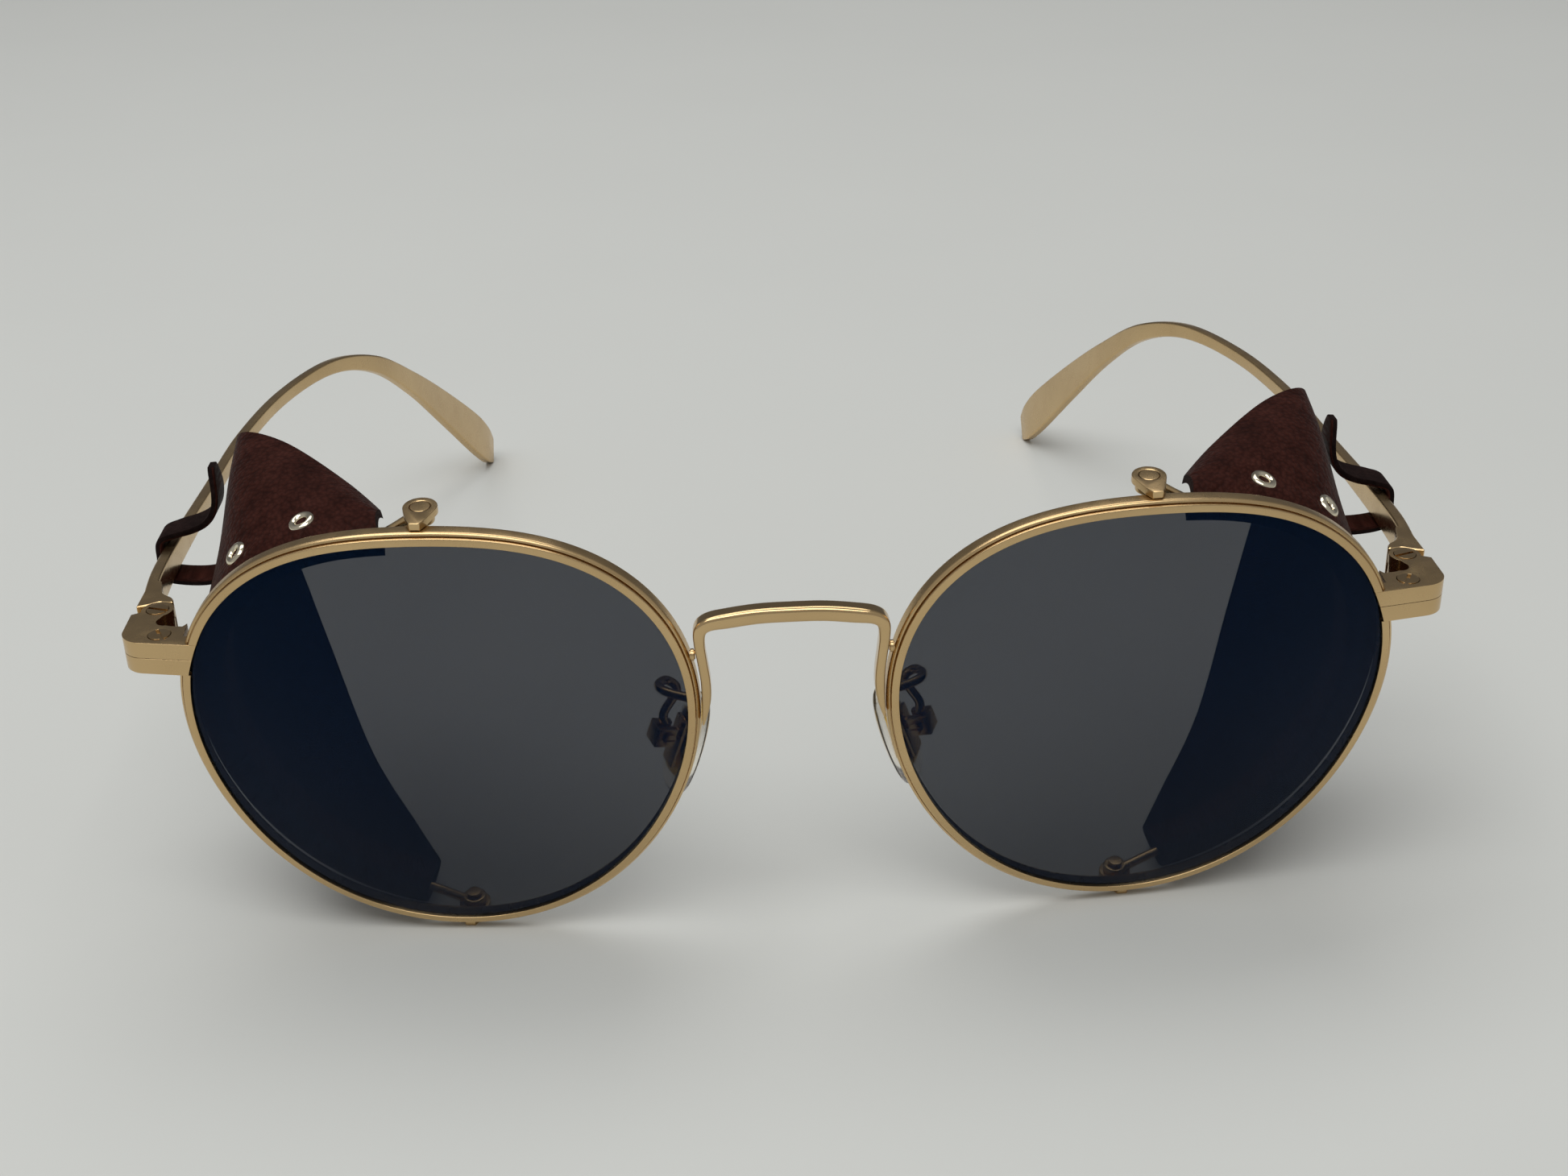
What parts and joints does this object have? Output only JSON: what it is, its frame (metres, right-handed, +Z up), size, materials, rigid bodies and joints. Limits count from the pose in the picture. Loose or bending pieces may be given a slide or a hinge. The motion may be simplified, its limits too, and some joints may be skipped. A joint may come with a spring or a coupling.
{
  "type": "glacier glasses",
  "caption": "Round metal-framed glacier glasses with dark lenses, folding wire temples, clear nose pads and leather side shields strapped round the temples.",
  "frame": {"origin": "on the flat the glasses stand on, midway between the two sides and midway between the front and the temple tips", "axes": "+X to the viewer's right when facing the front of the glasses, +Y back along the temples, +Z up; the front faces -Y"},
  "size_m": [0.1332, 0.1329, 0.0498],
  "materials": {
    "gold_frame": "satin pale gold plating",
    "smoke_lens": "polished grey tint",
    "clear_pad": "soft clear silicone",
    "brown_leather": "pebbled grain, dark burgundy brown"
  },
  "bodies": {
    "front": {"bridge": "gold_frame", "bridge_struts": "gold_frame", "rim_left": "gold_frame", "rim_right": "gold_frame", "lens_left": "smoke_lens", "lens_right": "smoke_lens", "end_piece_upper_left": "gold_frame", "end_piece_upper_right": "gold_frame", "end_piece_lower_left": "gold_frame", "end_piece_lower_right": "gold_frame", "closing_screw_left": "gold_frame", "closing_screw_right": "gold_frame", "hinge_screw_left": "gold_frame", "hinge_screw_right": "gold_frame", "top_lug_left": "gold_frame", "top_lug_right": "gold_frame", "bottom_lug_left": "gold_frame", "bottom_lug_right": "gold_frame", "shield_pins_left": "gold_frame", "shield_pins_right": "gold_frame", "shield_ring_left": "gold_frame", "shield_ring_right": "gold_frame", "shield_leather_left": "brown_leather", "shield_leather_right": "brown_leather", "shield_eyelets_left": "gold_frame", "shield_eyelets_right": "gold_frame", "pad_arm_left": "gold_frame", "pad_arm_right": "gold_frame", "pad_box_left": "gold_frame", "pad_box_right": "gold_frame", "pad_screw_left": "gold_frame", "pad_screw_right": "gold_frame"},
    "temple_left": {"temple_left": "gold_frame", "shield_strap_left": "brown_leather"},
    "temple_right": {"temple_right": "gold_frame", "shield_strap_right": "brown_leather"},
    "pad_left": {"pad_insert_left": "gold_frame", "nose_pad_left": "clear_pad"},
    "pad_right": {"pad_insert_right": "gold_frame", "nose_pad_right": "clear_pad"}
  },
  "joints": [
    {"name": "temple_fold_right", "type": "hinge", "parent": "front", "child": "temple_right", "pos_m": [0.06274, -0.05359, 0.03443], "axis": [0, 0, 1], "range_deg": [0, 72], "deforming": ["shield_leather_right"]},
    {"name": "temple_fold_left", "type": "hinge", "parent": "front", "child": "temple_left", "pos_m": [-0.06274, -0.05359, 0.03443], "axis": [0, 0, -1], "range_deg": [0, 76], "deforming": ["shield_leather_left"]},
    {"name": "pad_rock_right", "type": "hinge", "parent": "front", "child": "pad_right", "pos_m": [0.01293, -0.05861, 0.02215], "axis": [0.3834, 0.9135, 0.1358], "range_deg": [-9, 9]},
    {"name": "pad_rock_left", "type": "hinge", "parent": "front", "child": "pad_left", "pos_m": [-0.01293, -0.05861, 0.02215], "axis": [0.3834, -0.9135, -0.1358], "range_deg": [-9, 9]}
  ]
}
